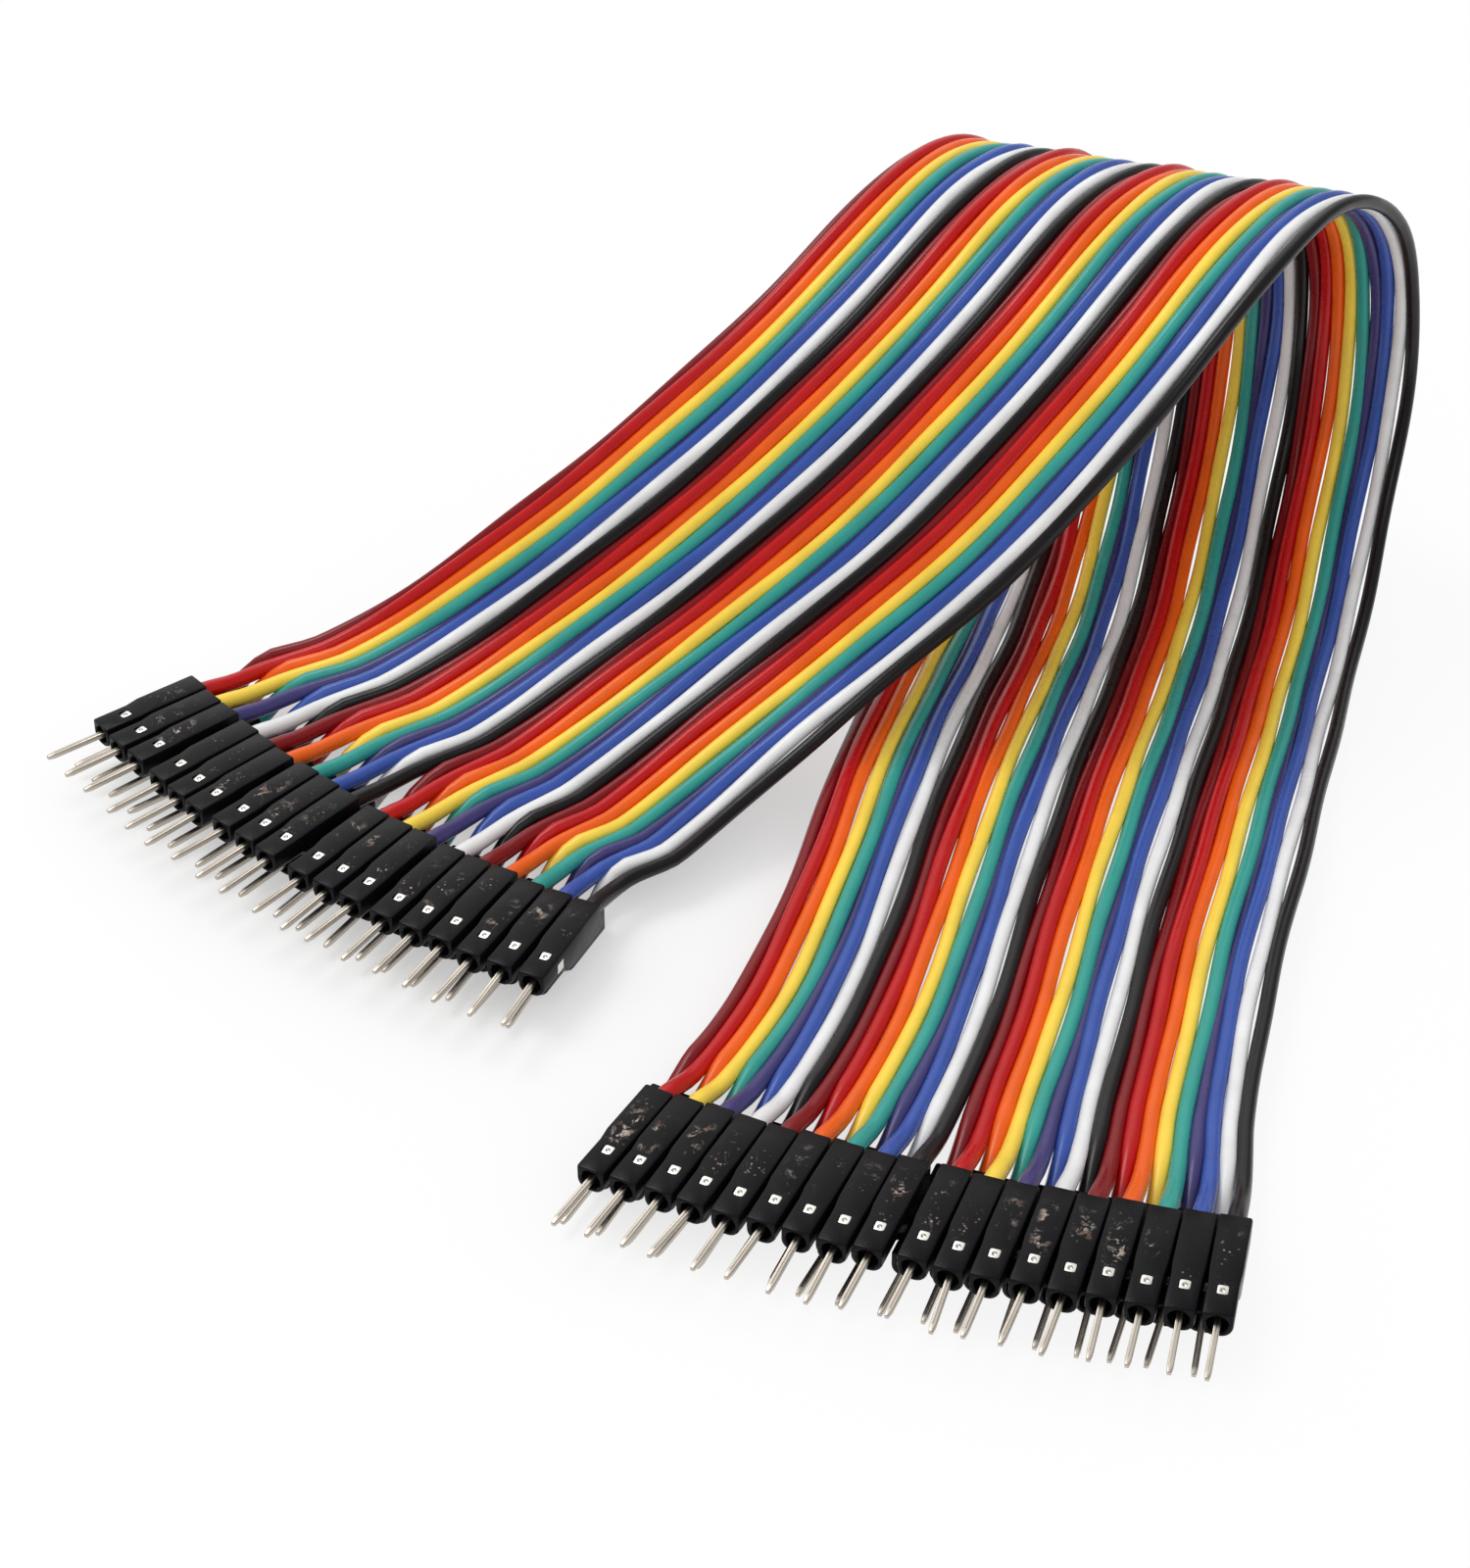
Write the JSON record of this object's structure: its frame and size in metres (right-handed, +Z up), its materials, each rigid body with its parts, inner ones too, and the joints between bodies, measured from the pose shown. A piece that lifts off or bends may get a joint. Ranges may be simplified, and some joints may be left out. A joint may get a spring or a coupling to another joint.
{
  "type": "breadboard jumper wire",
  "caption": "Ribbon of coloured jumper wires turned back in an open loop, with square black housings and square pins in two layers at both ends.",
  "frame": {"origin": "on the table plane, under the middle of the box around both rows of connectors", "axes": "+Z up from the table; +Y from the connector rows towards the ribbon's loop; +X from the left row towards the right row as pictured"},
  "size_m": [0.1239, 0.1384, 0.043],
  "materials": {
    "housing_plastic": "satin black moulded plastic",
    "pin_metal": "tinned metal of the pins and of the contacts in the windows",
    "wire_maroon": "semi-gloss soft vinyl insulation, maroon",
    "wire_red": "semi-gloss soft vinyl insulation, red",
    "wire_orange": "semi-gloss soft vinyl insulation, orange",
    "wire_yellow": "semi-gloss soft vinyl insulation, yellow",
    "wire_green": "semi-gloss soft vinyl insulation, green",
    "wire_purple": "semi-gloss soft vinyl insulation, purple",
    "wire_blue": "semi-gloss soft vinyl insulation, blue",
    "wire_white": "semi-gloss soft vinyl insulation, white",
    "wire_black": "semi-gloss soft vinyl insulation, black"
  },
  "bodies": {
    "root": {"left_upper_housings_1": "housing_plastic", "left_upper_housings_2": "housing_plastic", "left_upper_housings_3": "housing_plastic", "left_upper_housings_4": "housing_plastic", "left_upper_housings_5": "housing_plastic", "left_upper_housings_6": "housing_plastic", "left_lower_housings_1": "housing_plastic", "left_lower_housings_2": "housing_plastic", "left_lower_housings_3": "housing_plastic", "left_lower_housings_4": "housing_plastic", "left_lower_housings_5": "housing_plastic", "left_lower_housings_6": "housing_plastic", "right_upper_housings_1": "housing_plastic", "right_upper_housings_2": "housing_plastic", "right_upper_housings_3": "housing_plastic", "right_upper_housings_4": "housing_plastic", "right_upper_housings_5": "housing_plastic", "right_upper_housings_6": "housing_plastic", "right_lower_housings_1": "housing_plastic", "right_lower_housings_2": "housing_plastic", "right_lower_housings_3": "housing_plastic", "right_lower_housings_4": "housing_plastic", "right_lower_housings_5": "housing_plastic", "right_lower_housings_6": "housing_plastic", "wire_01_maroon": "wire_maroon", "wire_02_red": "wire_red", "wire_03_orange": "wire_orange", "wire_04_yellow": "wire_yellow", "wire_05_green": "wire_green", "wire_06_purple": "wire_purple", "wire_07_blue": "wire_blue", "wire_08_white": "wire_white", "wire_09_black": "wire_black", "wire_10_maroon": "wire_maroon", "wire_11_red": "wire_red", "wire_12_orange": "wire_orange", "wire_13_yellow": "wire_yellow", "wire_14_green": "wire_green", "wire_15_purple": "wire_purple", "wire_16_blue": "wire_blue", "wire_17_white": "wire_white", "wire_18_black": "wire_black", "wire_19_maroon": "wire_maroon", "wire_20_red": "wire_red", "wire_21_orange": "wire_orange", "wire_22_yellow": "wire_yellow", "wire_23_green": "wire_green", "wire_24_purple": "wire_purple", "wire_25_blue": "wire_blue", "wire_26_white": "wire_white", "wire_27_black": "wire_black", "wire_28_maroon": "wire_maroon", "wire_29_red": "wire_red", "wire_30_orange": "wire_orange", "wire_31_yellow": "wire_yellow", "wire_32_green": "wire_green", "wire_33_purple": "wire_purple", "wire_34_blue": "wire_blue", "wire_35_white": "wire_white", "wire_36_black": "wire_black"}
  },
  "joints": []
}
